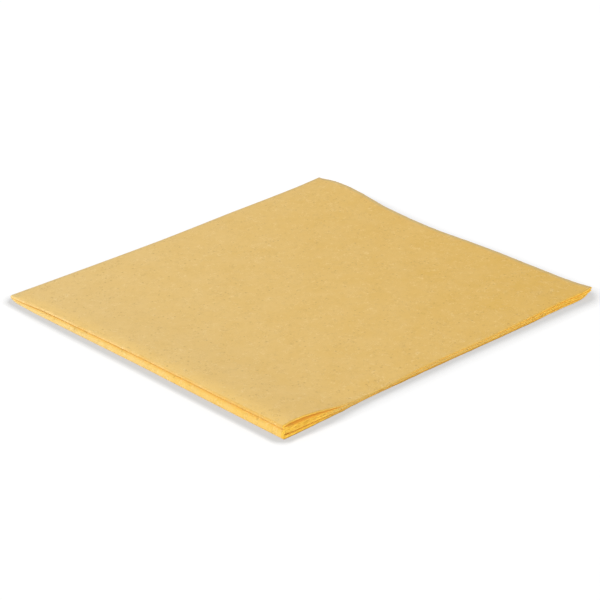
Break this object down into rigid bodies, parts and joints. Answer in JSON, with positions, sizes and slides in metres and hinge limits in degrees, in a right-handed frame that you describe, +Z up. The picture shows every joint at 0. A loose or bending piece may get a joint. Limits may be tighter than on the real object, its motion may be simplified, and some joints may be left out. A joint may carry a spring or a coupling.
{
  "type": "nonwoven cleaning cloth",
  "caption": "Thin raw-cut nonwoven cleaning cloth, folded in half and in half again, whose upper half opens on the main fold.",
  "frame": {"origin": "on the surface that the folded cloth rests on, under the middle of its outline", "axes": "+X from the first fold to the loose side, +Y from the four raw edges at the front to the main fold, +Z up"},
  "size_m": [0.19, 0.175, 0.0067],
  "materials": {
    "cloth_face": "matt nonwoven microfibre, warm yellow-tan, finely mottled",
    "cloth_inside": "matt nonwoven microfibre, the same cloth seen in the folds, a little more saturated"
  },
  "bodies": {
    "lower_half": {"bottom_leaf": "cloth_face", "lower_inner_leaf": "cloth_inside", "first_fold_lower": "cloth_face", "main_fold_outer_lower": "cloth_face", "main_fold_inner_lower": "cloth_inside"},
    "upper_half": {"upper_inner_leaf": "cloth_inside", "top_leaf": "cloth_face", "first_fold_upper": "cloth_face", "main_fold_outer_upper": "cloth_face", "main_fold_inner_upper": "cloth_inside"}
  },
  "joints": [
    {"name": "main_fold", "type": "hinge", "parent": "lower_half", "child": "upper_half", "pos_m": [0, 0.08765, 0.00158], "axis": [-1, 0, 0], "range_deg": [0, 178]}
  ]
}
